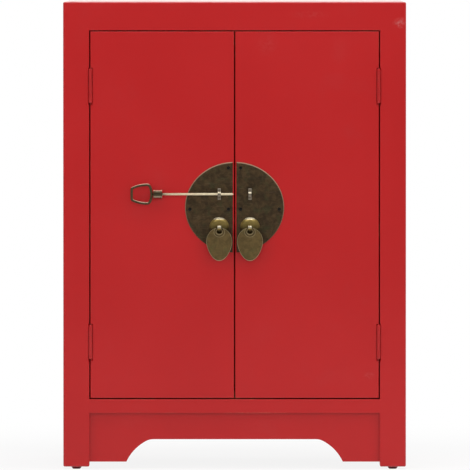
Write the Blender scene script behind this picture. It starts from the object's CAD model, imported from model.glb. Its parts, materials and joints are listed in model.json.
import json
import math

import bmesh
import bpy
import numpy as np
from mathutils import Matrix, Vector


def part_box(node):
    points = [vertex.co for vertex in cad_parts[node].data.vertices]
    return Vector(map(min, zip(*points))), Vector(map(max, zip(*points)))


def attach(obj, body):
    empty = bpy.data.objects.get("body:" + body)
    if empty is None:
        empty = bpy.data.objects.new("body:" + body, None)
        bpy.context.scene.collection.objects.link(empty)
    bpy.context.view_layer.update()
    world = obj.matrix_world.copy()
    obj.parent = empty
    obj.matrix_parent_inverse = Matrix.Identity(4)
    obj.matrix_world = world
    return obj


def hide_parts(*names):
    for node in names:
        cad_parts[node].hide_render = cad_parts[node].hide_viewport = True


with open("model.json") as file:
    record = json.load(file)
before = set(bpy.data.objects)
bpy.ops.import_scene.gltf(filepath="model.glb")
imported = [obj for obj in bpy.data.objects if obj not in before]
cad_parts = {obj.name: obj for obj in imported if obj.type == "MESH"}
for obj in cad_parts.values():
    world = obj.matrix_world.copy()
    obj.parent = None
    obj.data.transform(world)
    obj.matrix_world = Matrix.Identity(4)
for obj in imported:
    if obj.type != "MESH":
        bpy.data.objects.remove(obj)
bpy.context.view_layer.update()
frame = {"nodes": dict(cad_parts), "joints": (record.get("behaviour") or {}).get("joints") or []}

# Red two-door bedside cabinet: lacquered boards, patinated lock plates, drop pulls and a sliding pin
scene = bpy.context.scene
scene.view_settings.view_transform = "Standard"
mm = 0.001
fullTurn, quarterTurn = 2 * math.pi, math.pi / 2
sides = {"left": -1, "right": 1}
jointAt = {joint["name"]: np.array(joint.get("pos_m") or (0, 0, 0)) for joint in frame["joints"]}
print("frame loaded:", len(frame["nodes"]), "nodes")


def boxOf(node):
    low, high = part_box(node)
    return np.array(low), np.array(high)


# Node trees


def addNode(tree, kind, values=None, **settings):
    node = tree.nodes.new(kind)
    for key, item in settings.items():
        setattr(node, key, item)
    for key, item in (values or {}).items():
        if isinstance(item, bpy.types.NodeSocket):
            tree.links.new(item, node.inputs[key])
        else:
            node.inputs[key].default_value = item
    return node


def maths(tree, operation, first, second=0.0):
    return addNode(tree, "ShaderNodeMath", {0: first, 1: second}, operation=operation).outputs[0]


def vectors(tree, operation, first, second=(0, 0, 0)):
    return addNode(tree, "ShaderNodeVectorMath", {0: first, 1: second}, operation=operation).outputs[0]


def lengthOf(tree, vector):
    return addNode(tree, "ShaderNodeVectorMath", {0: vector}, operation="LENGTH").outputs["Value"]


def partsOf(tree, vector):
    return addNode(tree, "ShaderNodeSeparateXYZ", {0: vector}).outputs


def mixed(tree, factor, *colours):
    first, second = [item if isinstance(item, bpy.types.NodeSocket) else (*item, 1) for item in colours]
    values = {0: factor, 6: first, 7: second}  # 6 and 7 in, and 2 out, are the colour sockets
    return addNode(tree, "ShaderNodeMix", values, data_type="RGBA").outputs[2]


def laidOver(tree, colour, over, mask, share):  # the second colour covers the first by mask times share
    return mixed(tree, maths(tree, "MULTIPLY", mask, share), colour, over)


def eased(tree, value, start, end, low=0.0, high=1.0):  # smooth step from start to end
    values = {"Value": value, "From Min": start, "From Max": end, "To Min": low, "To Max": high}
    return addNode(tree, "ShaderNodeMapRange", values, interpolation_type="SMOOTHSTEP").outputs[0]


def noise(tree, place, scale, detail=4.0, rough=0.55, warp=0.0):
    values = {"Vector": place, "Scale": scale, "Detail": detail, "Roughness": rough, "Distortion": warp}
    return addNode(tree, "ShaderNodeTexNoise", values).outputs[0]


def strongNoise(tree, place, look, kind):  # noise of that kind, let through where it is strong
    return eased(tree, noise(tree, place, **look[kind]), *look[f"{kind}Edge"])


def newGroup(name, inputs, outputs):
    group = bpy.data.node_groups.new(name, "ShaderNodeTree")
    for title, kind in inputs.items():
        group.interface.new_socket(title, in_out="INPUT", socket_type=f"NodeSocket{kind}")
    for title in outputs:
        group.interface.new_socket(title, in_out="OUTPUT", socket_type="NodeSocketFloat")
    return group, group.nodes.new("NodeGroupInput").outputs, group.nodes.new("NodeGroupOutput").inputs


def useGroup(tree, group, values):
    return addNode(tree, "ShaderNodeGroup", values, node_tree=group).outputs


def newMaterial(name, specular, metallic=0.0):
    material = bpy.data.materials.new(name)
    material.use_nodes = True
    tree = material.node_tree
    shader = tree.nodes["Principled BSDF"]
    shader.inputs["Specular IOR Level"].default_value = specular
    shader.inputs["Metallic"].default_value = metallic
    place = addNode(tree, "ShaderNodeTexCoord").outputs["Object"]
    return material, tree, shader, place


def finishShader(tree, shader, colour, rough, height, depth, strength):
    values = {"Height": height, "Distance": depth, "Strength": strength}
    bump = addNode(tree, "ShaderNodeBump", values).outputs[0]
    for title, socket in (("Base Color", colour), ("Roughness", rough), ("Normal", bump)):
        tree.links.new(socket, shader.inputs[title])


# Shared effects. In all looks an Edge says where a smooth step starts and ends

grainMarks = {
    "streaks": {"scale": 1.0, "detail": 5.0, "rough": 0.6, "warp": 0.4},
    "fine": {"scale": 7.0, "detail": 3.0, "rough": 0.6},
    "cloud": {"scale": 6.0, "detail": 3.0, "rough": 0.5},
}


def makeBoardGrain():  # streaks along a board: noise squeezed across the grain, coarse and fine
    look = grainMarks
    inputs = {"Place": "Vector", "Stretch": "Vector", "Shift": "Vector"}
    group, given, made = newGroup("boardGrain", inputs, ("Streaks", "Fine", "Cloud"))
    moved = vectors(group, "ADD", given["Place"], given["Shift"])
    drawn = vectors(group, "MULTIPLY", moved, given["Stretch"])
    group.links.new(noise(group, drawn, **look["streaks"]), made["Streaks"])
    group.links.new(noise(group, drawn, **look["fine"]), made["Fine"])
    group.links.new(noise(group, given["Place"], **look["cloud"]), made["Cloud"])  # runs on over the joints
    return group


arrisMarks = {
    "rag": {"scale": 160.0},
    "ragReach": 1.6,
    "wornEdge": (1.15, 0.75),
    "patches": {"scale": 14.0},
    "patchesEdge": (0.48, 0.66),
    "polishEdge": (1.6, 0.0),
}


def makeArrisWear():  # nearness to the edges of a box: the middle one of the three distances to its faces
    look = arrisMarks
    inputs = {"Place": "Vector", "Low": "Vector", "High": "Vector", "Width": "Float"}
    group, given, made = newGroup("arrisWear", inputs, ("Wear", "Polish"))
    toLow = vectors(group, "ABSOLUTE", vectors(group, "SUBTRACT", given["Place"], given["Low"]))
    toHigh = vectors(group, "ABSOLUTE", vectors(group, "SUBTRACT", given["Place"], given["High"]))
    x, y, z = partsOf(group, vectors(group, "MINIMUM", toLow, toHigh))
    smaller, larger = maths(group, "MINIMUM", x, y), maths(group, "MAXIMUM", x, y)
    middle = maths(group, "MAXIMUM", smaller, maths(group, "MINIMUM", larger, z))
    share = maths(group, "DIVIDE", middle, given["Width"])
    rag = maths(group, "MULTIPLY", noise(group, given["Place"], **look["rag"]), look["ragReach"])
    ragged = maths(group, "ADD", share, rag)
    rare = strongNoise(group, given["Place"], look, "patches")
    worn = maths(group, "MULTIPLY", eased(group, ragged, *look["wornEdge"]), rare)
    group.links.new(worn, made["Wear"])
    group.links.new(eased(group, share, *look["polishEdge"]), made["Polish"])
    return group


patinaMarks = {
    "blotch": {"scale": 1.0, "detail": 6.0, "rough": 0.62, "warp": 0.6},
    "blotchEdge": (0.3, 0.72),
    "bloom": {"scale": 0.55, "detail": 5.0, "rough": 0.6, "warp": 0.3},
    "bloomEdge": (0.5, 0.68),
    "pits": {"scale": 9.0, "detail": 3.0, "rough": 0.6},
    "scratch": {"scale": 1.4, "detail": 2.0},
    "scratchEdge": (0.62, 0.7),
    "scratchTurn": (0, 0.6, 0),
    "scratchStretch": (0.35, 1, 9),
}


def makePatina():  # blotches, green bloom, fine pits and hairline scratches of old brass, all from noise
    look = patinaMarks
    inputs = {"Place": "Vector", "Scale": "Float", "Shift": "Vector"}
    group, given, made = newGroup("patina", inputs, ("Blotch", "Bloom", "Pits", "Scratch"))
    moved = vectors(group, "ADD", given["Place"], given["Shift"])
    values = {0: moved, "Scale": given["Scale"]}
    sized = addNode(group, "ShaderNodeVectorMath", values, operation="SCALE").outputs[0]
    group.links.new(strongNoise(group, sized, look, "blotch"), made["Blotch"])
    group.links.new(strongNoise(group, sized, look, "bloom"), made["Bloom"])
    group.links.new(noise(group, sized, **look["pits"]), made["Pits"])
    values = {0: sized, "Rotation": look["scratchTurn"], "Scale": look["scratchStretch"]}
    turned = addNode(group, "ShaderNodeMapping", values).outputs[0]
    group.links.new(strongNoise(group, turned, look, "scratch"), made["Scratch"])
    return group


dustMarks = {
    "upEdge": (0.6, 1.0),
    "patches": {"scale": 55.0, "detail": 6.0, "rough": 0.75},
    "patchesEdge": (0.3, 0.8),
}


def makeDust():  # thin dust that settles on faces that look up, in soft patches
    look = dustMarks
    group, given, made = newGroup("settledDust", {"Place": "Vector"}, ("Dust",))
    normal = addNode(group, "ShaderNodeNewGeometry").outputs["Normal"]
    up = eased(group, partsOf(group, normal)[2], *look["upEdge"])
    patches = strongNoise(group, given["Place"], look, "patches")
    group.links.new(maths(group, "MULTIPLY", up, patches), made["Dust"])
    return group


smudgeMarks = {
    "wisps": {"scale": 16.0, "detail": 6.0, "rough": 0.6, "warp": 1.8},
    "wispsEdge": (0.5, 0.72),
    "few": {"scale": 5.0, "detail": 2.0, "rough": 0.5},
    "fewEdge": (0.45, 0.65),
}


def makeSmudge():  # wiped marks on a glossy face: wispy noise, let through only in a few places
    look = smudgeMarks
    group, given, made = newGroup("wipedSmudge", {"Place": "Vector"}, ("Smudge",))
    wisps, few = [strongNoise(group, given["Place"], look, kind) for kind in ("wisps", "few")]
    group.links.new(maths(group, "MULTIPLY", wisps, few), made["Smudge"])
    return group


boardGrain, arrisWear, patina = makeBoardGrain(), makeArrisWear(), makePatina()
settledDust, wipedSmudge = makeDust(), makeSmudge()
print("shared node groups made")

# Red lacquer on the boards that show

lacquer = {
    "red": (0.452, 0.0064, 0.0072),
    "deep": (0.43, 0.0054, 0.0062),
    "edge": (0.5, 0.02, 0.02),
    "bare": (0.5, 0.2, 0.12),
    "dust": (0.55, 0.36, 0.33),
    "smudge": (0.7, 0.5, 0.48),
    "specular": 0.5,
    "rough": (0.285, 0.37),
    "cloudEdge": (0.3, 0.7),
    "streakShare": 0.06, "polishShare": 0.15, "bareShare": 0.4, "dustShare": 0.05, "smudgeShare": 0.008,
    "cloudMatt": 0.5, "dustMatt": 0.2, "smudgeMatt": 0.2,  # what each adds to the roughness
    "mattEdge": (0.0, 0.7),
    "acrossPerMetre": 190.0,
    "alongPerMetre": 6.0,
    "wearWidth": 1.6 * mm,
    "covered": 50 * mm,  # moves an edge that meets another board out of reach of the wear
    "skin": {"scale": 700.0, "detail": 2.0, "rough": 0.5},  # the skin of a sprayed coat
    "relief": 0.01 * mm,
    "reliefStrength": 0.4,
}
boardPattern = {"perMetre": 7.0, "start": (0.3, 1.1, 2.3), "digits": 3}


def boardShift(low, high):  # each board shows another stretch of the pattern, by the place of its middle
    look = boardPattern
    return tuple(np.round((low + high) / 2 * look["perMetre"] + look["start"], look["digits"]))


def stretchAlong(low, high, across, along):  # the grain runs along the longest side
    stretch = np.full(3, across)
    stretch[np.argmax(high - low)] = along
    return tuple(stretch)


scuffs = {  # pale rubs on the front: middle and reach, both across and up
    "front_right_post": [{"at": (213 * mm, 573 * mm), "reach": (13 * mm, 9 * mm), "strength": 0.2}],
    "right_door_panel": [
        {"at": (173 * mm, 120 * mm), "reach": (9 * mm, 6 * mm), "strength": 0.12},
        {"at": (42 * mm, 545 * mm), "reach": (18 * mm, 20 * mm), "strength": 0.03},
    ],
    "top_front_rail": [{"at": (96 * mm, 584 * mm), "reach": (34 * mm, 7 * mm), "strength": 0.035}],
}
scuffMarks = {
    "breaks": {"scale": 260.0, "detail": 4.0, "rough": 0.6, "warp": 0.5},
    "breaksEdge": (0.42, 0.62),
}


def scuffShare(tree, place, spots):
    # One less the distance in reaches, times the strength; the strongest spot counts, broken up by noise
    broken = strongNoise(tree, place, scuffMarks, "breaks")
    total = 0.0
    for spot in spots:
        x, z = spot["at"]
        across, up = spot["reach"]
        offset = vectors(tree, "SUBTRACT", place, (x, 0, z))
        away = lengthOf(tree, vectors(tree, "MULTIPLY", offset, (1 / across, 0, 1 / up)))
        total = maths(tree, "MAXIMUM", total, eased(tree, away, 1.0, 0.0, 0.0, spot["strength"]))
    return maths(tree, "MULTIPLY", total, broken)


def redLacquer(name, low, high, openFaces, spots):
    # openFaces says, for -x -y -z +x +y +z, whether the board's edge is free there or meets another board
    look = lacquer
    material, tree, shader, place = newMaterial(name, look["specular"])
    covered = look["covered"] * (1 - np.array(openFaces, float))
    grain = useGroup(tree, boardGrain, {
        "Place": place,
        "Stretch": stretchAlong(low, high, look["acrossPerMetre"], look["alongPerMetre"]),
        "Shift": boardShift(low, high),
    })
    wear = useGroup(tree, arrisWear, {
        "Place": place,
        "Low": tuple(low - covered[:3]),
        "High": tuple(high + covered[3:]),
        "Width": look["wearWidth"],
    })
    dust = useGroup(tree, settledDust, {"Place": place})["Dust"]
    colour = mixed(tree, eased(tree, grain["Cloud"], *look["cloudEdge"]), look["deep"], look["red"])
    colour = laidOver(tree, colour, look["deep"], grain["Streaks"], look["streakShare"])
    colour = laidOver(tree, colour, look["edge"], wear["Polish"], look["polishShare"])
    colour = laidOver(tree, colour, look["bare"], wear["Wear"], look["bareShare"])
    colour = laidOver(tree, colour, look["dust"], dust, look["dustShare"])
    smudge = useGroup(tree, wipedSmudge, {"Place": place})["Smudge"]
    colour = laidOver(tree, colour, look["smudge"], smudge, look["smudgeShare"])
    if spots:
        colour = mixed(tree, scuffShare(tree, place, spots), colour, look["smudge"])
    uneven = maths(tree, "MULTIPLY", grain["Cloud"], look["cloudMatt"])
    for mask, share in ((dust, look["dustMatt"]), (smudge, look["smudgeMatt"])):
        uneven = maths(tree, "ADD", uneven, maths(tree, "MULTIPLY", mask, share))
    rough = eased(tree, uneven, *look["mattEdge"], *look["rough"])
    skin = noise(tree, place, **look["skin"])
    finishShader(tree, shader, colour, rough, skin, look["relief"], look["reliefStrength"])
    return material


def paint(node, material):
    piece = frame["nodes"][node]
    piece.data.materials.clear()
    piece.data.materials.append(material)


meetsX, meetsY, meetsNone = (0, 1, 1, 0, 1, 1), (1, 0, 1, 1, 0, 1), (1, 1, 1, 1, 1, 1)
redBoards = {  # which faces of each board are free
    "front_left_post": (1, 1, 1, 0, 0, 1), "front_right_post": (0, 1, 1, 1, 0, 1),
    "rear_left_post": (1, 0, 1, 0, 1, 1), "rear_right_post": (0, 0, 1, 1, 1, 1),
    "top_front_rail": (0, 1, 1, 0, 0, 1), "top_rear_rail": (0, 0, 1, 0, 1, 1),
    "top_left_rail": (1, 0, 1, 0, 0, 1), "top_right_rail": (0, 0, 1, 1, 0, 1),
    "bottom_front_rail": meetsX, "bottom_rear_rail": meetsX,
    "bottom_left_rail": meetsY, "bottom_right_rail": meetsY,
    "top_panel": (0, 0, 1, 0, 0, 0),
    "left_side_panel": (1, 0, 0, 1, 0, 0), "right_side_panel": (1, 0, 0, 1, 0, 0),
    "front_apron": (0, 1, 1, 0, 1, 0), "left_apron": (1, 0, 1, 1, 0, 0), "right_apron": (1, 0, 1, 1, 0, 0),
    "left_door_panel": meetsNone, "right_door_panel": meetsNone,
}
for node, openFaces in redBoards.items():
    paint(node, redLacquer(f"redLacquer_{node}", *boxOf(node), openFaces, scuffs.get(node, ())))
print("red lacquer on", len(redBoards), "boards")

# Oiled wood inside

innerWood = {
    "light": (0.36, 0.205, 0.1),
    "dark": (0.27, 0.142, 0.064),
    "pore": (0.13, 0.062, 0.028),
    "specular": 0.3,
    "rough": (0.5, 0.7),
    "acrossPerMetre": 48.0,
    "alongPerMetre": 1.6,
    "ringSwing": 34.0,
    "ringEdge": (-0.9, 1.0),
    "poreEdge": (0.6, 0.72),
    "cloudShare": 0.5,
    "poreShare": 0.6,
    "relief": 0.12 * mm,
    "reliefStrength": 0.5,
}


def oiledWood(name, low, high):  # year rings are a sine of the coarse noise, with fine pores over them
    look = innerWood
    material, tree, shader, place = newMaterial(name, look["specular"])
    stretch = stretchAlong(low, high, look["acrossPerMetre"], look["alongPerMetre"])
    grain = useGroup(tree, boardGrain, {"Place": place, "Stretch": stretch, "Shift": boardShift(low, high)})
    swing = maths(tree, "MULTIPLY", grain["Streaks"], look["ringSwing"])
    rings = eased(tree, maths(tree, "SINE", swing), *look["ringEdge"])
    pores = eased(tree, grain["Fine"], *look["poreEdge"])
    colour = mixed(tree, rings, look["dark"], look["light"])
    colour = laidOver(tree, colour, look["dark"], grain["Cloud"], look["cloudShare"])
    colour = laidOver(tree, colour, look["pore"], pores, look["poreShare"])
    rough = eased(tree, rings, 0.0, 1.0, *look["rough"])
    height = maths(tree, "SUBTRACT", rings, pores)
    finishShader(tree, shader, colour, rough, height, look["relief"], look["reliefStrength"])
    return material


woodBoards = ("floor_panel", "back_panel", "shelf", "left_shelf_cleat", "right_shelf_cleat",
              "top_door_stop", "bottom_door_stop")
for node in woodBoards:
    paint(node, oiledWood(f"oiledWood_{node}", *boxOf(node)))
print("oiled wood on", len(woodBoards), "boards")

# Metals

metalMarks = {
    "specular": 0.3,
    "ragByPits": 0.5,
    "rubEdge": (0.55, 1.1),
    "soilShare": 0.95,
    "mattEdge": (-1.0, 1.2),
    "blotchRelief": 0.6,
    "reliefStrength": 0.6,
}


def oldMetal(name, look):
    # Two browns in blotches, a green bloom and scratches over them, bright metal where the mesh says that
    # it is rubbed, and soil where the mesh says that it gathers
    wear = metalMarks
    material, tree, shader, place = newMaterial(name, wear["specular"], look["metallic"])
    marks = useGroup(tree, patina, {"Place": place, "Scale": look["perMetre"], "Shift": look["shift"]})
    colour = mixed(tree, marks["Blotch"], look["dark"], look["brown"])
    colour = laidOver(tree, colour, look["green"], marks["Bloom"], look["bloom"])
    colour = laidOver(tree, colour, look["bright"], marks["Scratch"], look["scratch"])
    rim = addNode(tree, "ShaderNodeAttribute", attribute_name="rubbed").outputs["Fac"]
    ragged = maths(tree, "ADD", rim, maths(tree, "MULTIPLY", marks["Pits"], wear["ragByPits"]))
    worn = eased(tree, ragged, *wear["rubEdge"])
    colour = laidOver(tree, colour, look["bright"], worn, look["rubbed"])
    soil = addNode(tree, "ShaderNodeAttribute", attribute_name="grime").outputs["Fac"]
    colour = laidOver(tree, colour, look["soil"], soil, wear["soilShare"])
    matt = maths(tree, "SUBTRACT", maths(tree, "ADD", marks["Blotch"], marks["Bloom"]), worn)
    rough = eased(tree, matt, *wear["mattEdge"], *look["rough"])
    blotches = maths(tree, "MULTIPLY", marks["Blotch"], wear["blotchRelief"])
    height = maths(tree, "ADD", marks["Pits"], blotches)
    finishShader(tree, shader, colour, rough, height, look["pitDepth"], wear["reliefStrength"])
    return material


metals = {
    "dark_bronze": {
        "dark": (0.033, 0.0205, 0.0092), "brown": (0.084, 0.051, 0.021), "green": (0.047, 0.048, 0.019),
        "bright": (0.62, 0.42, 0.28), "soil": (0.012, 0.009, 0.006),
        "bloom": 0.6, "scratch": 0.06, "rubbed": 0.6, "metallic": 0.4, "rough": (0.32, 0.55),
        "perMetre": 150.0, "pitDepth": 0.08 * mm, "shift": (0, 0, 0),
    },
    "olive_bronze": {
        "dark": (0.09, 0.06, 0.021), "brown": (0.15, 0.1, 0.035), "green": (0.092, 0.088, 0.031),
        "bright": (0.42, 0.34, 0.2), "soil": (0.014, 0.01, 0.006),
        "bloom": 0.5, "scratch": 0.06, "rubbed": 0.6, "metallic": 0.4, "rough": (0.3, 0.5),
        "perMetre": 170.0, "pitDepth": 0.06 * mm, "shift": (0.4, 0.1, 0.7),
    },
    "worn_brass": {
        "dark": (0.36, 0.255, 0.075), "brown": (0.43, 0.315, 0.1), "green": (0.36, 0.285, 0.085),
        "bright": (0.86, 0.78, 0.6), "soil": (0.03, 0.02, 0.008),
        "bloom": 0.3, "scratch": 0.0, "rubbed": 0.9, "metallic": 0.75, "rough": (0.285, 0.4),
        "perMetre": 160.0, "pitDepth": 0.006 * mm, "shift": (0.9, 0.5, 0.2),
    },
    "keeper_brass": {
        "dark": (0.25, 0.21, 0.16), "brown": (0.33, 0.28, 0.215), "green": (0.26, 0.23, 0.17),
        "bright": (0.9, 0.8, 0.58), "soil": (0.03, 0.022, 0.012),
        "bloom": 0.4, "scratch": 0.04, "rubbed": 0.8, "metallic": 0.35, "rough": (0.285, 0.36),
        "perMetre": 260.0, "pitDepth": 0.02 * mm, "shift": (0.5, 0.9, 0.3),
    },
    "pin_bronze": {
        "dark": (0.07, 0.05, 0.024), "brown": (0.12, 0.085, 0.042), "green": (0.08, 0.075, 0.036),
        "bright": (0.86, 0.7, 0.52), "soil": (0.016, 0.012, 0.008),
        "bloom": 0.4, "scratch": 0.06, "rubbed": 0.9, "metallic": 0.5, "rough": (0.285, 0.42),
        "perMetre": 220.0, "pitDepth": 0.03 * mm, "shift": (0.7, 0.2, 0.5),
    },
    "bright_brass": {
        "dark": (0.68, 0.58, 0.38), "brown": (0.78, 0.68, 0.47), "green": (0.7, 0.6, 0.4),
        "bright": (0.86, 0.78, 0.58), "soil": (0.2, 0.15, 0.08),
        "bloom": 0.2, "scratch": 0.1, "rubbed": 0.3, "metallic": 0.3, "rough": (0.285, 0.38),
        "perMetre": 260.0, "pitDepth": 0.01 * mm, "shift": (0.2, 0.8, 0.4),
    },
    "tack": {
        "dark": (0.006, 0.005, 0.004), "brown": (0.014, 0.011, 0.008), "green": (0.01, 0.011, 0.008),
        "bright": (0.22, 0.18, 0.13), "soil": (0.004, 0.003, 0.002),
        "bloom": 0.4, "scratch": 0.05, "rubbed": 0.9, "metallic": 0.4, "rough": (0.3, 0.45),
        "perMetre": 400.0, "pitDepth": 0.03 * mm, "shift": (0.6, 0.3, 0.1),
    },
    "screw_steel": {
        "dark": (0.28, 0.265, 0.24), "brown": (0.45, 0.43, 0.39), "green": (0.3, 0.22, 0.14),
        "bright": (0.7, 0.68, 0.64), "soil": (0.05, 0.04, 0.03),
        "bloom": 0.5, "scratch": 0.4, "rubbed": 0.4, "metallic": 0.9, "rough": (0.3, 0.5),
        "perMetre": 300.0, "pitDepth": 0.03 * mm, "shift": (0.1, 0.2, 0.9),
    },
}
metalOf = {slot: oldMetal(f"{slot}Metal", look) for slot, look in metals.items()}
print("metals made:", len(metalOf))

paintedHinge = {
    "red": (0.44, 0.009, 0.01),
    "run": (0.36, 0.006, 0.007),
    "chip": (0.42, 0.3, 0.14),
    "specular": 0.5,
    "rough": (0.3, 0.42),
    "roughEdge": (0.2, 0.8),
    "runStretch": (900, 900, 90),
    "runs": {"scale": 1.0, "detail": 3.0},
    "runEdge": (0.35, 0.7),
    "chips": {"scale": 420.0, "detail": 4.0, "rough": 0.6},
    "chipsEdge": (0.69, 0.73),
    "chipShare": 0.7,
    "relief": 0.06 * mm,
    "reliefStrength": 0.6,
}


def hingePaint():  # brushed-on paint with runs, and a few chips down to the brass
    look = paintedHinge
    material, tree, shader, place = newMaterial("paintedHinge", look["specular"])
    runs = noise(tree, vectors(tree, "MULTIPLY", place, look["runStretch"]), **look["runs"])
    chips = strongNoise(tree, place, look, "chips")
    colour = mixed(tree, eased(tree, runs, *look["runEdge"]), look["run"], look["red"])
    colour = laidOver(tree, colour, look["chip"], chips, look["chipShare"])
    rough = eased(tree, runs, *look["roughEdge"], *look["rough"])
    height = maths(tree, "SUBTRACT", runs, chips)
    finishShader(tree, shader, colour, rough, height, look["relief"], look["reliefStrength"])
    return material


footGlide = {
    "dark": (0.09, 0.007, 0.008),
    "red": (0.27, 0.01, 0.011),
    "specular": 0.25,
    "rough": (0.45, 0.7),
    "roughEdge": (0.2, 0.8),
    "spray": {"scale": 500.0, "detail": 4.0, "rough": 0.6},
    "sprayEdge": (0.4, 0.7),
    "relief": 0.05 * mm,
    "reliefStrength": 0.5,
}


def glideFinish():  # dark moulded disc with the lacquer's overspray on it
    look = footGlide
    material, tree, shader, place = newMaterial("footGlide", look["specular"])
    spray = noise(tree, place, **look["spray"])
    colour = mixed(tree, eased(tree, spray, *look["sprayEdge"]), look["dark"], look["red"])
    rough = eased(tree, spray, *look["roughEdge"], *look["rough"])
    finishShader(tree, shader, colour, rough, spray, look["relief"], look["reliefStrength"])
    return material


hingeFinish, glideLook = hingePaint(), glideFinish()
for level in ("upper", "lower"):
    for side in sides:
        for holder in ("frame", "door"):
            paint(f"{level}_{side}_{holder}_leaf", hingeFinish)
paint("hinge_pins", hingeFinish)
paint("foot_glides", glideLook)
for node in ("shelf_cleat_screws", "frame_hinge_screws", "back_panel_nails",
             "left_door_hinge_screws", "right_door_hinge_screws"):
    paint(node, metalOf["screw_steel"])
print("hinges, glides and screws finished")

# Surfaces

poleGap = 0.001 * mm  # points closer than this are one: it closes the poles of turned shapes
barPoints = 20  # round the section of a bar


def gridQuads(rows, columns):  # four corners of every cell, row by row; the last column joins the first
    row, column = np.arange(rows - 1)[:, None], np.arange(columns)[None, :]
    following = (column + 1) % columns
    corners = (row * columns + column, row * columns + following,
               (row + 1) * columns + following, (row + 1) * columns + column)
    return np.stack(corners, -1).reshape(-1, 4)


def addPiece(name, surfaces, body, slot, replaced, finish=None):
    # surfaces: grids of points (rows, columns, 3), wrapped across the columns, with rubbed and grime shares
    points, quads, rubbed, grime, count = [], [], [], [], 0
    for grid, rub, soil in surfaces:
        rows, columns = grid.shape[:2]
        points.append(grid.reshape(-1, 3))
        quads.append(gridQuads(rows, columns) + count)
        rubbed.append(np.broadcast_to(rub, (rows, columns)).reshape(-1))
        grime.append(np.broadcast_to(soil, (rows, columns)).reshape(-1))
        count += rows * columns
    mesh = bpy.data.meshes.new(name)
    mesh.from_pydata(np.concatenate(points).tolist(), [], np.concatenate(quads).tolist())
    for title, shares in (("rubbed", rubbed), ("grime", grime)):
        layer = mesh.attributes.new(title, "FLOAT", "POINT")
        layer.data.foreach_set("value", np.concatenate(shares).astype(np.float32))
    shell = bmesh.new()
    shell.from_mesh(mesh)
    bmesh.ops.remove_doubles(shell, verts=shell.verts, dist=poleGap)
    bmesh.ops.recalc_face_normals(shell, faces=shell.faces)
    shell.to_mesh(mesh)
    shell.free()
    mesh.polygons.foreach_set("use_smooth", np.ones(len(mesh.polygons), bool))
    mesh.materials.append(metalOf[finish or slot])
    piece = bpy.data.objects.new(name, mesh)
    scene.collection.objects.link(piece)
    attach(piece, body)
    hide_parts(replaced)


def ramp(value, base, slope, most=1.0):
    # Base plus slope times the value, kept between nothing and most; looks give the numbers in this order
    return np.clip(base + slope * value, 0, most)


def turnedOn(start, along, profile, turns):
    # Rows of (distance, radius) turned round a level line: start + along * distance + radius * circle
    first = np.cross(along, (0, 0, 1))
    second = np.cross(along, first)
    angle = np.linspace(0, fullTurn, turns, endpoint=False)
    circle = np.cos(angle)[:, None] * first + np.sin(angle)[:, None] * second
    distance, radius = np.array(profile, float).T
    return np.array(start) + distance[:, None, None] * np.array(along) + radius[:, None, None] * circle


def ovalSection(width, thickness, corner):
    # A rounded bar: cosine and sine raised to the corner's power, which is under one, with their signs kept
    angle = np.linspace(0, fullTurn, barPoints, endpoint=False)
    across, up = np.cos(angle), np.sin(angle)
    return np.stack((np.sign(across) * np.abs(across) ** corner * width / 2,
                     np.sign(up) * np.abs(up) ** corner * thickness / 2), -1)


def carriedAlong(path, side, section, closed):
    # A section carried along a path in the plane square to side: path + p * side + q * (tangent x side)
    if closed:
        ahead, behind = np.roll(path, -1, 0), np.roll(path, 1, 0)
    else:
        ahead, behind = np.vstack((path[1:], path[-1:])), np.vstack((path[:1], path[:-1]))
    tangent = ahead - behind
    tangent /= np.linalg.norm(tangent, axis=1)[:, None]
    outward = np.cross(tangent, side)
    grid = path[:, None] + section[None, :, :1] * np.array(side) + section[None, :, 1:] * outward[:, None]
    if closed:
        return np.concatenate((grid, grid[:1]))
    ends = [np.broadcast_to(point, grid[:1].shape) for point in (path[0], path[-1])]
    return np.concatenate((ends[0], grid, ends[1]))


def arc(centre, first, second, start, end, count):  # centre + cos * first + sin * second, angles in degrees
    angle = np.radians(np.linspace(start, end, count))[:, None]
    return np.array(centre) + np.cos(angle) * np.array(first) + np.sin(angle) * np.array(second)


def steps(path, spacing):  # evenly spaced points on a bent line
    length = np.concatenate(([0], np.cumsum(np.linalg.norm(np.diff(path, axis=0), axis=1))))
    wanted = np.linspace(0, length[-1], int(round(length[-1] / spacing)))
    return np.stack([np.interp(wanted, length, places) for places in path.T], -1)


def mirroredBelow(path, level):  # the path upside down about a level, and run backwards
    return path[::-1] * (1, 1, -1) + (0, 0, 2 * level)


# Lock plates: one oval split between the doors

lockPlate = {
    "rimRound": 0.75 * mm,
    "rimSteps": 7,
    "bowColumns": 200,
    "splitColumns": 100,
    "rows": 34,
    "heart": 0.42,  # where the rows meet, as a share of the width
    "dents": 150,
    "dentSize": 7.5 * mm,
    "dentSpread": (0.6, 1.3),
    "dentDepth": 0.1 * mm,
    "dentFadeRows": 3,
    "seed": 41,
    "bowRub": 0.6,
    "upperRub": 0.3,  # hands and cloths reach the upper rim most
    "splitRub": 0.35,
}


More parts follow.
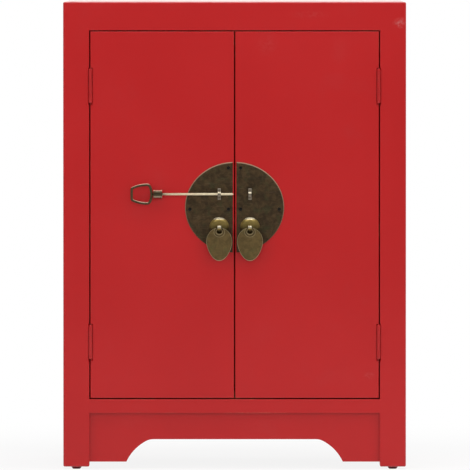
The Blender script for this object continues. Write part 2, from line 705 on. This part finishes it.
def platePoints(side, sign):
    # Offset rows round the rim follow a quarter circle; inside them the rows shrink to the middle, and
    # shallow hammer marks sink the face: the deepest of many dents, each a squared fall-off from its middle
    look = lockPlate
    low, high = boxOf(f"{side}_lock_plate")
    split, reach = sorted((abs(low[0]), abs(high[0])))
    rise, middle = (high[2] - low[2]) / 2, (low[2] + high[2]) / 2
    most = math.acos(split / reach)
    angle = np.linspace(-most, most, look["bowColumns"])
    bow = np.stack((reach * np.cos(angle), rise * np.sin(angle)), -1)
    straight = np.linspace(bow[-1], bow[0], look["splitColumns"] + 2)[1:-1]
    line = np.concatenate((bow, straight))
    tangent = np.roll(line, -1, 0) - np.roll(line, 1, 0)
    inward = np.stack((-tangent[:, 1], tangent[:, 0]), -1)
    inward /= np.linalg.norm(inward, axis=1)[:, None]
    turn = np.linspace(0, quarterTurn, look["rimSteps"])
    rim = line + look["rimRound"] * (1 - np.cos(turn))[:, None, None] * inward
    face = low[1] + look["rimRound"] * (1 - np.sin(turn))
    centre = np.array((split + look["heart"] * (reach - split), 0.0))
    shrink = np.linspace(0, 1, look["rows"])[1:, None, None]
    inner = rim[-1] * (1 - shrink) + centre * shrink
    back = np.stack((np.broadcast_to(centre, line.shape), line))
    flat = np.concatenate((back, rim, inner))
    depth = np.concatenate((np.full(len(back), high[1]), face, np.full(len(inner), low[1])))
    depth = np.broadcast_to(depth[:, None], flat.shape[:2]).copy()
    draw = np.random.default_rng(look["seed"] + sign)
    spots = draw.uniform((split, -rise), (reach, rise), (look["dents"], 2))
    sizes = look["dentSize"] * draw.uniform(*look["dentSpread"], look["dents"])
    away = np.linalg.norm(inner[:, :, None] - spots, axis=-1) / sizes
    dent = (np.clip(1 - away ** 2, 0, 1) ** 2).max(-1) * look["dentDepth"]
    depth[-len(inner):] += dent * ramp(shrink[:, :, 0], 0, look["rows"] / look["dentFadeRows"])
    grid = np.stack((sign * flat[..., 0], depth, middle + flat[..., 1]), -1)
    onBow = look["bowRub"] + look["upperRub"] * np.sin(angle)
    onRim = np.concatenate((onBow, np.full(len(straight), look["splitRub"])))
    rubbed = np.zeros(flat.shape[:2])
    rubbed[len(back):len(back) + len(rim)] = onRim
    return grid, rubbed, 0.0


for side, sign in sides.items():
    plate = platePoints(side, sign)
    addPiece(f"{side}LockPlate", [plate], f"{side}_door", "dark_bronze", f"{side}_lock_plate")
print("lock plates made")

# Tacks with domed heads

plateTack = {
    "headRadius": 2.2 * mm,
    "headHeight": 0.95 * mm,
    "headSteps": 8,
    "shank": 0.7 * mm,
    "length": 8.0 * mm,
    "turns": 20,
    "inner": 7.8 * mm,
    "outer": 57.4 * mm,
    "rise": 50.5 * mm,
    "drop": 2.5 * mm,
    "footRadius": 1.5 * mm,  # the smaller ones in the feet of the keepers, rubbed bright
    "footFace": 1.2 * mm,
    "footInset": 2.0 * mm,
    "footRub": 1.0,
}


def tackAt(spot, radius):  # a quarter ellipse for the head, then a thin shank into the wood
    look = plateTack
    turn = np.linspace(0, quarterTurn, look["headSteps"])
    head = np.stack((look["headHeight"] * np.cos(turn), radius * np.sin(turn)), -1)
    shank = [(0.0, look["shank"]), (-look["length"], look["shank"]), (-look["length"], 0.0)]
    return turnedOn(spot, (0, -1, 0), np.concatenate((head, shank)), look["turns"])


def tackPoints(side, sign):
    look = plateTack
    plateLow, plateHigh = boxOf(f"{side}_lock_plate")
    keeperLow, keeperHigh = boxOf(f"{side}_pin_keeper")
    face, middle = plateLow[1], (plateLow[2] + plateHigh[2]) / 2
    lifts = (look["rise"], -look["drop"], -look["rise"])
    spots = [(sign * look["inner"], face, middle + lift) for lift in lifts]
    spots.append((sign * look["outer"], face, middle - look["drop"]))
    heads = [(tackAt(spot, look["headRadius"]), 0.0, 0.0) for spot in spots]
    for z in (keeperLow[2] + look["footInset"], keeperHigh[2] - look["footInset"]):
        foot = ((keeperLow[0] + keeperHigh[0]) / 2, face - look["footFace"], z)
        heads.append((tackAt(foot, look["footRadius"]), look["footRub"], 0.0))
    return heads


for side, sign in sides.items():
    addPiece(f"{side}PlateTacks", tackPoints(side, sign), f"{side}_door", "tack", f"{side}_plate_tacks")
print("tacks made")

# Keepers: a strap bent over the pin

rodLow, rodHigh = boxOf("pin_rod")
pinY, pinZ = (rodLow[1] + rodHigh[1]) / 2, (rodLow[2] + rodHigh[2]) / 2
pinKeeper = {
    "strap": 1.2 * mm,
    "corner": 0.3,
    "innerRadius": 2.1 * mm,
    "footBend": 0.9 * mm,
    "spacing": 0.35 * mm,
    "brightAbove": 0.75,  # bright where it turns over the pin, in radii from the pin's middle
    "brightOut": 0.8,
    "polish": (1.6, -2.2),
    "soilAbove": -0.2,
    "soil": (1.0, -1.6),
    "soilShare": 0.75,
}


def keeperPoints(side):
    # Half of the strap is a foot along the plate, a small bend, a leg outwards and a quarter turn over the
    # pin; the other half mirrors it, and a rounded section is carried along both
    look = pinKeeper
    low, high = boxOf(f"{side}_pin_keeper")
    x, half = (low[0] + high[0]) / 2, look["strap"] / 2
    radius, bend = look["innerRadius"] + half, look["footBend"]
    foot = high[1] - half
    heel = arc((x, foot - bend, pinZ + radius + bend), (0, 0, -bend), (0, bend, 0), 90, 0, count=6)
    over = arc((x, pinY, pinZ), (0, 0, radius), (0, -radius, 0), 0, 90, count=12)
    upper = np.concatenate(([(x, foot, high[2])], heel, over))
    path = steps(np.concatenate((upper, mirroredBelow(upper[:-1], pinZ))), look["spacing"])
    strap = ovalSection(high[0] - low[0], look["strap"], look["corner"])
    grid = carriedAlong(path, (1, 0, 0), strap, False)
    above, out = (grid[..., 2] - pinZ) / radius, (pinY - grid[..., 1]) / radius
    crown = ramp(np.hypot(above - look["brightAbove"], out - look["brightOut"]), *look["polish"])
    shade = look["soilShare"] * ramp(np.abs(above - look["soilAbove"]), *look["soil"]) * np.clip(out, 0, 1)
    return grid, crown, shade


for side in sides:
    addPiece(f"{side}PinKeeper", [keeperPoints(side)], f"{side}_door", "worn_brass", f"{side}_pin_keeper",
             "keeper_brass")
print("keepers made")

# Domed bosses and the eyes that go through them

pullBoss = {
    "height": 5.5 * mm,
    "flange": 0.5 * mm,
    "lip": 0.3 * mm,
    "step": 0.1 * mm,
    "lift": 0.5 * mm,
    "domeSteps": 22,
    "turns": 64,
    "polish": (-2.0, 3.0, 0.7),  # fingers polish the upper side
    "soil": (0.76, -1.9),  # soil gathers towards the pull and round the foot
    "footSoil": (1.0, -2.0),
}


def bossPoints(side):
    # A quarter ellipse turned round the eye's line down to the flange, whose lip is a quarter circle
    look = pullBoss
    low, high = boxOf(f"{side}_pull_boss")
    eye = jointAt[f"{side}_pull_swing"]
    widest, flange, lip = (high[0] - low[0]) / 2, look["flange"], look["lip"]
    turn = np.linspace(0, quarterTurn, look["domeSteps"])
    dome = np.stack((look["height"] * np.cos(turn), (widest - flange) * np.sin(turn)), -1)
    dome = dome[dome[:, 0] > flange]
    step = [(flange, dome[-1][1] + look["step"])]
    rim = arc((flange - lip, widest - lip), (lip, 0), (0, lip), 0, 90, count=5)
    profile = np.concatenate((dome, step, rim, [(0.0, widest), (0.0, 0.0)]))
    grid = turnedOn((eye[0], high[1], eye[2] + look["lift"]), (0, -1, 0), profile, look["turns"])
    above = (grid[..., 2] - eye[2]) / widest
    soil = np.maximum(ramp(profile[:, :1] / flange, *look["footSoil"]), ramp(above, *look["soil"]))
    return grid, ramp(above, *look["polish"]), soil


pullEye = {
    "strap": 1.2 * mm,
    "width": 4.7 * mm,
    "corner": 0.35,
    "leg": 0.62 * mm,
    "turnIn": 8,  # degrees from the legs to where the round part begins
    "spacing": 0.35 * mm,
    "brightAbove": 0.3,  # bright where the pull rubs the front of the eye, soiled beyond
    "polish": (1.9, -2.8),
    "soil": (-0.35, 1.2, 0.6),
}


def eyePoints(side):
    # The strap: a clenched end inside the door, a leg outwards, round the eye, and the same way back
    look = pullEye
    low, high = boxOf(f"{side}_pull_eye")
    eye = jointAt[f"{side}_pull_swing"]
    half, leg = look["strap"] / 2, look["leg"]
    radius, inside = eye[1] - low[1] - half, high[1] - half
    begin = math.degrees(math.asin(leg / radius)) + look["turnIn"]
    ends = np.array([
        (eye[0], inside, high[2]),
        (eye[0], inside, eye[2] + leg),
        (eye[0], eye[1] + radius + half, eye[2] + leg),
    ])
    loop = arc(eye, (0, radius, 0), (0, 0, radius), begin, 360 - begin, count=60)
    path = steps(np.concatenate((ends, loop, mirroredBelow(ends, eye[2]))), look["spacing"])
    strap = ovalSection(look["width"], look["strap"], look["corner"])
    grid = carriedAlong(path, (1, 0, 0), strap, False)
    fromSpot = np.abs((grid[..., 2] - eye[2]) / radius - look["brightAbove"])
    return grid, ramp(fromSpot, *look["polish"]), ramp(fromSpot, *look["soil"])


for side in sides:
    addPiece(f"{side}PullBoss", [bossPoints(side)], f"{side}_door", "worn_brass", f"{side}_pull_boss")
    addPiece(f"{side}PullEye", [eyePoints(side)], f"{side}_door", "worn_brass", f"{side}_pull_eye")
print("bosses and eyes made")

# Drop pulls: leaf-shaped plates that hang from the eyes

dropPull = {
    "upper": 18.3 * mm,
    "taper": 1.5,
    "holeHalf": 3.4 * mm,
    "holeTop": 2.2 * mm,
    "holeEnd": 7.7 * mm,
    "bead": 0.8 * mm,
    "dish": 0.35 * mm,
    "collar": 1.0 * mm,
    "groove": 2.7 * mm,
    "ripple": 4.2 * mm,
    "rippleHalf": 1.1 * mm,
    "rippleRise": 0.2,
    "rimRub": (1.4, -1.0),
    "raisedRub": 0.6,
    "grooveSoil": 0.55,
    "columns": 160,
    "rows": 64,
}


def halfRound(distance, radius):  # the height of a half circle that starts at no distance, as a share
    return np.sqrt(np.clip(1 - (distance / radius - 1) ** 2, 0, 1))


def pullPoints(side):
    # The outline is half an ellipse above the widest place and a power curve below it. Rows run from the
    # hole to the outline, closer together at both ends; the face is dished a little, with a raised collar
    # round the hole, a low ridge beyond it and a rounded bead along the rim
    look = dropPull
    low, high = boxOf(f"{side}_drop_pull")
    eye = jointAt[f"{side}_pull_swing"]
    half, thick = (high[0] - low[0]) / 2, (high[1] - low[1]) / 2
    widest = high[2] - look["upper"]
    lower = widest - low[2]
    angle = np.linspace(0, fullTurn, look["columns"], endpoint=False) + quarterTurn
    across, up = np.cos(angle), np.sin(angle)
    share = np.where(up >= 0, np.abs(up), np.abs(up) ** (2 / look["taper"]))
    outline = np.stack((half * across, widest + np.where(up >= 0, look["upper"], -lower) * share), -1)
    holeMiddle = eye[2] - (look["holeTop"] + look["holeEnd"]) / 2
    holeRise = (look["holeEnd"] - look["holeTop"]) / 2
    hole = np.stack((look["holeHalf"] * across, holeMiddle + holeRise * up), -1)
    spread = (1 - np.cos(np.linspace(0, math.pi, look["rows"])))[:, None, None] / 2
    flat = hole * (1 - spread) + outline * spread
    fromRim = np.linalg.norm(flat - outline, axis=-1)
    fromHole = np.linalg.norm(flat - hole, axis=-1)
    bead, collar = halfRound(fromRim, look["bead"]), halfRound(fromHole, look["collar"])
    ridge = np.clip(1 - ((fromHole - look["ripple"]) / look["rippleHalf"]) ** 2, 0, 1)
    face = 1 - look["dish"] / thick + look["rippleRise"] * ridge * (fromRim > 2 * look["bead"])
    swell = np.maximum(face, np.maximum(bead, collar))
    front, back = [np.stack((eye[0] + flat[..., 0], eye[1] + way * thick * swell, flat[..., 1]), -1)
                   for way in (-1, 1)]
    rubbed = np.maximum(ramp(fromRim / look["bead"], *look["rimRub"]),
                        look["raisedRub"] * np.maximum(collar, ridge))
    soil = look["grooveSoil"] * np.clip(1 - np.abs(fromHole - look["groove"]) / look["collar"], 0, 1)
    shares = [np.concatenate((share, share[::-1], share[:1])) for share in (rubbed, soil)]
    return np.concatenate((front, back[::-1], front[:1])), *shares


for side in sides:
    addPiece(f"{side}DropPull", [pullPoints(side)], f"{side}_pull", "olive_bronze", f"{side}_drop_pull")
print("drop pulls made")

# Locking pin: rod, ferrule and ring

pinRod = {
    "thinner": 0.2 * mm,  # than the box of the solid
    "point": 2.0 * mm,
    "pointRadius": 0.85 * mm,
    "pointSteps": 6,
    "turns": 32,
    "rub": 0.3,
}


def rodPoints():  # a rod, its taper and a quarter circle that closes it, turned round the rod's line
    look = pinRod
    radius, length = (rodHigh[2] - rodLow[2]) / 2 - look["thinner"], rodHigh[0] - rodLow[0]
    end = look["pointRadius"]
    straight = [(0.0, 0.0), (0.0, radius), (length - look["point"], radius)]
    tip = arc((length - end, 0), (0, end), (end, 0), 0, 90, look["pointSteps"])
    grid = turnedOn((rodLow[0], pinY, pinZ), (1, 0, 0), np.concatenate((straight, tip)), look["turns"])
    return grid, look["rub"], 0.0


pinFerrule = {
    "bead": 1.1 * mm,
    "beadEnd": 150,  # degrees of the bead's round
    "barrelFrom": 2.4,  # beads from each end
    "waist": 0.5 * mm,
    "turns": 64,
    "bands": ((0.85, 0.16, 1.0), (-0.62, 0.14, 0.7)),  # rubbed bands: level and width in radii, strength
    "soilAbove": 0.1,
    "soil": (0.75, -2.2, 0.6),
}
ferruleLow, ferruleHigh = boxOf("pin_ferrule")


def ferrulePoints():  # a barrel between two beads, each part of a circle, turned round the rod's line
    look = pinFerrule
    length, radius = ferruleHigh[0] - ferruleLow[0], (ferruleHigh[2] - ferruleLow[2]) / 2
    bead, waist, inset = look["bead"], radius - look["waist"], look["barrelFrom"] * look["bead"]
    firstBead = arc((bead, radius - bead), (-bead, 0), (0, bead), 0, look["beadEnd"], count=12)
    lastBead = firstBead[::-1] * (-1, 1) + (length, 0)
    barrel = [(inset, waist), (length - inset, waist)]
    profile = np.concatenate(([(0.0, 0.0)], firstBead, barrel, lastBead, [(length, 0.0)]))
    grid = turnedOn((ferruleLow[0], pinY, pinZ), (1, 0, 0), profile, look["turns"])
    level = (grid[..., 2] - pinZ) / radius
    bands = sum(strength * np.exp(-((level - at) / width) ** 2) for at, width, strength in look["bands"])
    return grid, np.clip(bands, 0, 1), ramp(np.abs(level - look["soilAbove"]), *look["soil"])


pinRing = {
    "bar": 3.2 * mm,
    "corner": 0.7,
    "tail": 22.0 * mm,
    "sweep": 26.7 * mm,
    "spacing": 0.5 * mm,
    "easings": 3,
    "neck": 0.6 * mm,
    "neckRadius": 1.3 * mm,
    "neckTurns": 24,
    "polish": (-0.9, 2.2),  # fingers polish what looks up, soil stays below
    "soil": (0.1, -0.6, 0.6),
}


def ringPoints():
    # The bar follows half an ellipse at the nose and part of a longer one at the tail, cut off by a
    # straight end; a short turned neck joins the nose to the ferrule
    look = pinRing
    low, high = boxOf("pin_ring")
    half = look["bar"] / 2
    tall, tallest = (high[2] - low[2]) / 2 - half, low[0] + look["tail"]
    noseReach = ferruleLow[0] - tallest - look["neck"] - half
    sweep = look["sweep"] - half
    endAngle = math.degrees(math.acos((look["tail"] - half) / sweep))
    nose = arc((tallest, pinY, pinZ), (noseReach, 0, 0), (0, 0, tall), -90, 90, count=30)
    tail = arc((tallest, pinY, pinZ), (-sweep, 0, 0), (0, 0, tall), 90, endAngle, count=24)[1:]
    path = steps(np.concatenate((nose, tail, mirroredBelow(tail, pinZ), nose[:1])), look["spacing"])[:-1]
    for easing in range(look["easings"]):  # means of three points round the corners of the straight end
        path = (np.roll(path, 1, 0) + 2 * path + np.roll(path, -1, 0)) / 4
    grid = carriedAlong(path, (0, 1, 0), ovalSection(look["bar"], look["bar"], look["corner"]), True)
    facing = (grid - np.concatenate((path, path[:1]))[:, None])[..., 2] / half
    neckStart, neckRadius = tallest + noseReach, look["neckRadius"]
    neckLength = ferruleLow[0] - neckStart
    neckProfile = [(0.0, 0.0), (0.0, neckRadius), (neckLength, neckRadius), (neckLength, 0.0)]
    neck = turnedOn((neckStart, pinY, pinZ), (1, 0, 0), neckProfile, look["neckTurns"])
    return [(grid, ramp(facing, *look["polish"]), ramp(facing, *look["soil"])), (neck, 0.0, 0.0)]


addPiece("pinRod", [rodPoints()], "lock_pin", "bright_brass", "pin_rod")
addPiece("pinFerrule", [ferrulePoints()], "lock_pin", "olive_bronze", "pin_ferrule", "pin_bronze")
addPiece("pinRing", ringPoints(), "lock_pin", "olive_bronze", "pin_ring", "pin_bronze")
print("locking pin made")

# Floor, light and camera

studio = {
    "floorHalf": 9.0,
    "floorColour": (0.82, 0.82, 0.82, 1),
    "floorGlow": 0.88,
    "whiteEdge": (0.35, 1.1),  # metres from the middle, over which the pale floor turns white
    "mirrorEdge": (-3.6, -1.2),  # in front, over which its mirror image fades into the dim room
    "behindEdge": (-0.25, 0.35),
    "room": 0.03,
    "ambient": 0.27,
}


def makeFloor():  # pale round the feet and white beyond; mirrored, it is white, and dim far in front
    look = studio
    half = look["floorHalf"]
    corners = [(-half, -half, 0), (half, -half, 0), (half, half, 0), (-half, half, 0)]
    mesh = bpy.data.meshes.new("paleFloor")
    mesh.from_pydata(corners, [], [(0, 1, 2, 3)])
    material = bpy.data.materials.new("paleFloor")
    material.use_nodes = True
    tree = material.node_tree
    tree.nodes.remove(tree.nodes["Principled BSDF"])
    light = addNode(tree, "ShaderNodeLightPath").outputs
    place = addNode(tree, "ShaderNodeTexCoord").outputs["Object"]
    near = eased(tree, partsOf(tree, place)[1], *look["mirrorEdge"], look["room"], 1.0)
    direct = maths(tree, "MAXIMUM", light["Is Camera Ray"], light["Is Transmission Ray"])
    glow = eased(tree, lengthOf(tree, place), *look["whiteEdge"], look["floorGlow"], 1.0)
    mirrored = light["Is Glossy Ray"]
    share = maths(tree, "MAXIMUM", maths(tree, "MULTIPLY", direct, glow), mirrored)
    level = mixed(tree, mirrored, (1, 1, 1), near)
    matt = addNode(tree, "ShaderNodeBsdfDiffuse", {"Color": look["floorColour"]}).outputs[0]
    white = addNode(tree, "ShaderNodeEmission", {"Color": level, "Strength": 1.0}).outputs[0]
    both = addNode(tree, "ShaderNodeMixShader", {0: share, 1: matt, 2: white}).outputs[0]
    tree.links.new(both, tree.nodes["Material Output"].inputs["Surface"])
    mesh.materials.append(material)
    floor = bpy.data.objects.new("paleFloor", mesh)
    scene.collection.objects.link(floor)


def makeWorld():  # white behind the cabinet, a dim room in front of it, soft light all round
    look = studio
    world = bpy.data.worlds.new("studioWorld")
    scene.world = world
    world.use_nodes = True
    tree = world.node_tree
    light = addNode(tree, "ShaderNodeLightPath").outputs
    way = addNode(tree, "ShaderNodeTexCoord").outputs["Generated"]
    behind = eased(tree, partsOf(tree, way)[1], *look["behindEdge"], look["room"], 1.0)
    direct = maths(tree, "MAXIMUM", light["Is Camera Ray"], light["Is Transmission Ray"])
    mirrored = maths(tree, "MULTIPLY", light["Is Glossy Ray"], behind)
    plain = maths(tree, "SUBTRACT", 1.0, maths(tree, "MAXIMUM", direct, light["Is Glossy Ray"]))
    shown = maths(tree, "MAXIMUM", direct, mirrored)
    strength = maths(tree, "ADD", shown, maths(tree, "MULTIPLY", plain, look["ambient"]))
    tree.links.new(strength, tree.nodes["Background"].inputs["Strength"])
    tree.nodes["Background"].inputs["Color"].default_value = (1, 1, 1, 1)


lampAim = Vector((0, 0, 0.32))  # about the middle of the cabinet
softboxes = {  # place, size, watts, in metres; a matt one is a fill that leaves no shine
    "overhead": {"at": (0.1, -0.95, 2.8), "size": (3.4, 1.1), "power": 38.0, "matt": False},
    "left": {"at": (-3.2, -2.6, 1.5), "size": (1.8, 2.6), "power": 32.0, "matt": True},
    "right": {"at": (3.2, -2.4, 1.7), "size": (1.8, 2.6), "power": 38.0, "matt": True},
    "front": {"at": (0.2, -6.0, 2.2), "size": (4.0, 3.0), "power": 96.0, "matt": True},
    "rear": {"at": (0.6, 3.2, 2.6), "size": (2.4, 1.6), "power": 50.0, "matt": False},
}


def makeSoftbox(name, box):
    lamp = bpy.data.lights.new(f"{name}Softbox", "AREA")
    lamp.shape = "RECTANGLE"
    lamp.size, lamp.size_y = box["size"]
    lamp.energy = box["power"]
    piece = bpy.data.objects.new(f"{name}Softbox", lamp)
    piece.location = box["at"]
    piece.rotation_euler = (lampAim - Vector(box["at"])).to_track_quat("-Z", "Y").to_euler()
    piece.visible_camera = False
    piece.visible_glossy = not box["matt"]
    scene.collection.objects.link(piece)


photoView = {
    "distance": 12.0,
    "pitch": 1.75,
    "aimX": 0.5 * mm,
    "aimZ": 301.1 * mm,
    "span": 603.2 * mm,
    "sensor": 36.0,
    "farthest": 100.0,
}


def makeCamera():  # the span fills the picture at the face of the doors
    look = photoView
    data = bpy.data.cameras.new("photoCamera")
    data.sensor_width = look["sensor"]
    data.lens = look["sensor"] * look["distance"] / look["span"]
    data.clip_end = look["farthest"]
    camera = bpy.data.objects.new("photoCamera", data)
    tilt = math.radians(look["pitch"])
    aim = Vector((look["aimX"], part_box("left_door_panel")[0].y, look["aimZ"]))
    camera.location = aim + look["distance"] * Vector((0, -math.cos(tilt), math.sin(tilt)))
    camera.rotation_euler = (quarterTurn - tilt, 0, 0)
    scene.collection.objects.link(camera)
    scene.camera = camera


makeFloor()
makeWorld()
for name, box in softboxes.items():
    makeSoftbox(name, box)
makeCamera()
print("floor, light and camera set")
